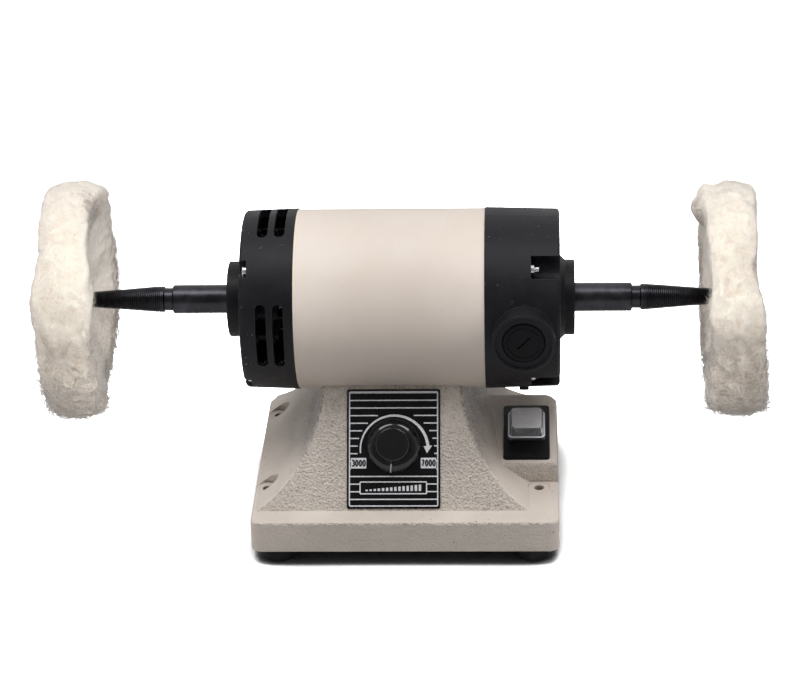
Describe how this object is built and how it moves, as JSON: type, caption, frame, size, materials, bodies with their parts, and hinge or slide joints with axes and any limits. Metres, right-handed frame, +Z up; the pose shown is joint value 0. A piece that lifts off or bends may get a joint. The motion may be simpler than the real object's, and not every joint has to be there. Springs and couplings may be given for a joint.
{
  "type": "polishing lathe",
  "caption": "Bench polishing lathe: a variable-speed motor on a cast pedestal base, with a tapered spindle and a cotton buff at each end, a speed knob and a splash-proof switch.",
  "frame": {"origin": "middle of the base's outline, on the surface that the rubber feet stand on", "axes": "+X along the motor shaft to the right-hand spindle, seen from the front; +Y to the back; +Z up"},
  "size_m": [0.472, 0.182, 0.2269],
  "materials": {
    "cream_paint": "textured powder coat",
    "black_cover": "matt black, fine grain",
    "dark_steel": "blued",
    "bright_steel": "ground",
    "chrome": "plated",
    "brass": "turned",
    "copper": "bare copper",
    "rubber": "matt",
    "panel_black": "printed dial, satin",
    "knob_black": "gloss",
    "switch_black": "satin",
    "boot_clear": "clear",
    "grey_plastic": "moulded",
    "board_green": "satin",
    "carbon": "pressed carbon",
    "sheet_steel": "zinc plated",
    "lamination": "stacked laminations",
    "cotton": "fluffy cotton",
    "leather": "natural"
  },
  "bodies": {
    "root": {"base_casting": "cream_paint", "bottom_cover_plate": "sheet_steel", "rubber_feet": "rubber", "foot_screws": "sheet_steel", "cable_gland": "rubber", "speed_panel": "panel_black", "speed_potentiometer": "sheet_steel", "potentiometer_nut": "sheet_steel", "switch_plate": "switch_black", "switch_body": "switch_black", "switch_terminals": "brass", "switch_boot": "boot_clear", "motor_tube": "cream_paint", "left_end_cover": "black_cover", "right_end_cover": "black_cover", "tie_bolts": "chrome", "tie_bolt_nuts": "chrome", "brush_holders": "brass", "carbon_brushes": "carbon", "brush_springs": "bright_steel", "brush_caps": "switch_black", "stator_core": "lamination", "field_coils": "copper", "left_bearing_outer": "bright_steel", "right_bearing_outer": "bright_steel", "lead_grommet": "rubber", "saddle_bolts": "sheet_steel", "speed_circuit_board": "board_green", "circuit_standoffs": "grey_plastic", "circuit_components": "grey_plastic"},
    "rotor": {"rotor_shaft": "bright_steel", "armature_core": "lamination", "armature_windings": "copper", "commutator": "copper", "cooling_fan": "grey_plastic", "left_bearing_inner": "bright_steel", "right_bearing_inner": "bright_steel", "left_spindle": "dark_steel", "right_spindle": "dark_steel", "spindle_set_screws": "dark_steel", "left_wheel": "cotton", "right_wheel": "cotton", "left_wheel_hub": "leather", "right_wheel_hub": "leather"},
    "left_balls": {"left_bearing_balls": "bright_steel"},
    "right_balls": {"right_bearing_balls": "bright_steel"},
    "knob": {"speed_knob": "knob_black", "potentiometer_shaft": "bright_steel"},
    "rocker": {"switch_rocker": "knob_black"}
  },
  "joints": [
    {"name": "rotor_spin", "type": "hinge", "parent": "root", "child": "rotor", "pos_m": [0, 0.0084, 0.1494], "axis": [1, 0, 0], "continuous": true},
    {"name": "left_balls_roll", "type": "hinge", "parent": "root", "child": "left_balls", "pos_m": [-0.1087, 0.0084, 0.1494], "axis": [1, 0, 0], "continuous": true},
    {"name": "right_balls_roll", "type": "hinge", "parent": "root", "child": "right_balls", "pos_m": [0.104, 0.0084, 0.1494], "axis": [1, 0, 0], "continuous": true},
    {"name": "speed_knob_turn", "type": "hinge", "parent": "root", "child": "knob", "pos_m": [-0.0075, -0.05083, 0.06895], "axis": [0, 0.8387, -0.5446], "range_deg": [0, 300]},
    {"name": "rocker_tilt", "type": "hinge", "parent": "root", "child": "rocker", "pos_m": [0.08055, 0.00163, 0.05228], "axis": [-1, 0, 0], "range_deg": [0, 20]}
  ],
  "couplings": [
    {"joint": "left_balls_roll", "follows": "rotor_spin", "ratio": 0.37727},
    {"joint": "right_balls_roll", "follows": "rotor_spin", "ratio": 0.37727}
  ]
}
